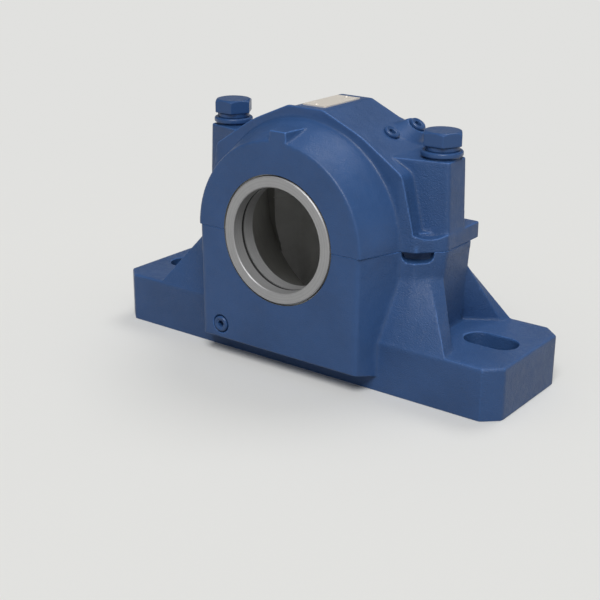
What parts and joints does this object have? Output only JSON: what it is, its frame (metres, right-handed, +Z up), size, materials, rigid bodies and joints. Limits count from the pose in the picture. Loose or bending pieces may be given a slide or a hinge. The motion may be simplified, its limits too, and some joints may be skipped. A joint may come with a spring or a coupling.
{
  "type": "split plummer block",
  "caption": "Split cast bearing housing with a slotted foot, a bolted cap on two towers, and turned labyrinth seal rings in both ends.",
  "frame": {"origin": "centre of the underside of the foot, on the plane that the housing rests on", "axes": "+X along the foot from one mounting slot to the other, +Y along the shaft towards the rear end, +Z up from the foot to the cap"},
  "size_m": [0.3874, 0.1524, 0.2171],
  "materials": {
    "painted_casting": "satin blue machine enamel over sand-cast grey iron",
    "turned_steel": "bare steel, turned and left satin",
    "seal_rubber": "moulded nitrile rubber",
    "plate": "plain rolled sheet, matt"
  },
  "bodies": {
    "base_unit": {"base": "painted_casting", "dowel_pin_left": "turned_steel", "dowel_pin_right": "turned_steel", "drain_plug": "painted_casting"},
    "cap_unit": {"cap": "painted_casting", "cap_bolt_left": "painted_casting", "cap_bolt_right": "painted_casting", "lock_washer_left": "painted_casting", "lock_washer_right": "painted_casting", "flat_washer_left": "painted_casting", "flat_washer_right": "painted_casting", "cap_plug_front": "painted_casting", "cap_plug_rear": "painted_casting", "nameplate": "plate", "plate_rivet_front": "plate", "plate_rivet_rear": "plate"},
    "seal_front": {"seal_ring_front": "turned_steel", "o_ring_front": "seal_rubber"},
    "seal_rear": {"seal_ring_rear": "turned_steel", "o_ring_rear": "seal_rubber"}
  },
  "joints": [
    {"name": "cap_lift", "type": "slide", "parent": "base_unit", "child": "cap_unit", "axis": [0, 0, 1], "range_m": [0, 0.13]},
    {"name": "seal_ring_front_spin", "type": "hinge", "parent": "base_unit", "child": "seal_front", "pos_m": [0, -0.0632, 0.1143], "axis": [0, 1, 0], "continuous": true},
    {"name": "seal_ring_rear_spin", "type": "hinge", "parent": "base_unit", "child": "seal_rear", "pos_m": [0, 0.0632, 0.1143], "axis": [0, 1, 0], "continuous": true}
  ]
}
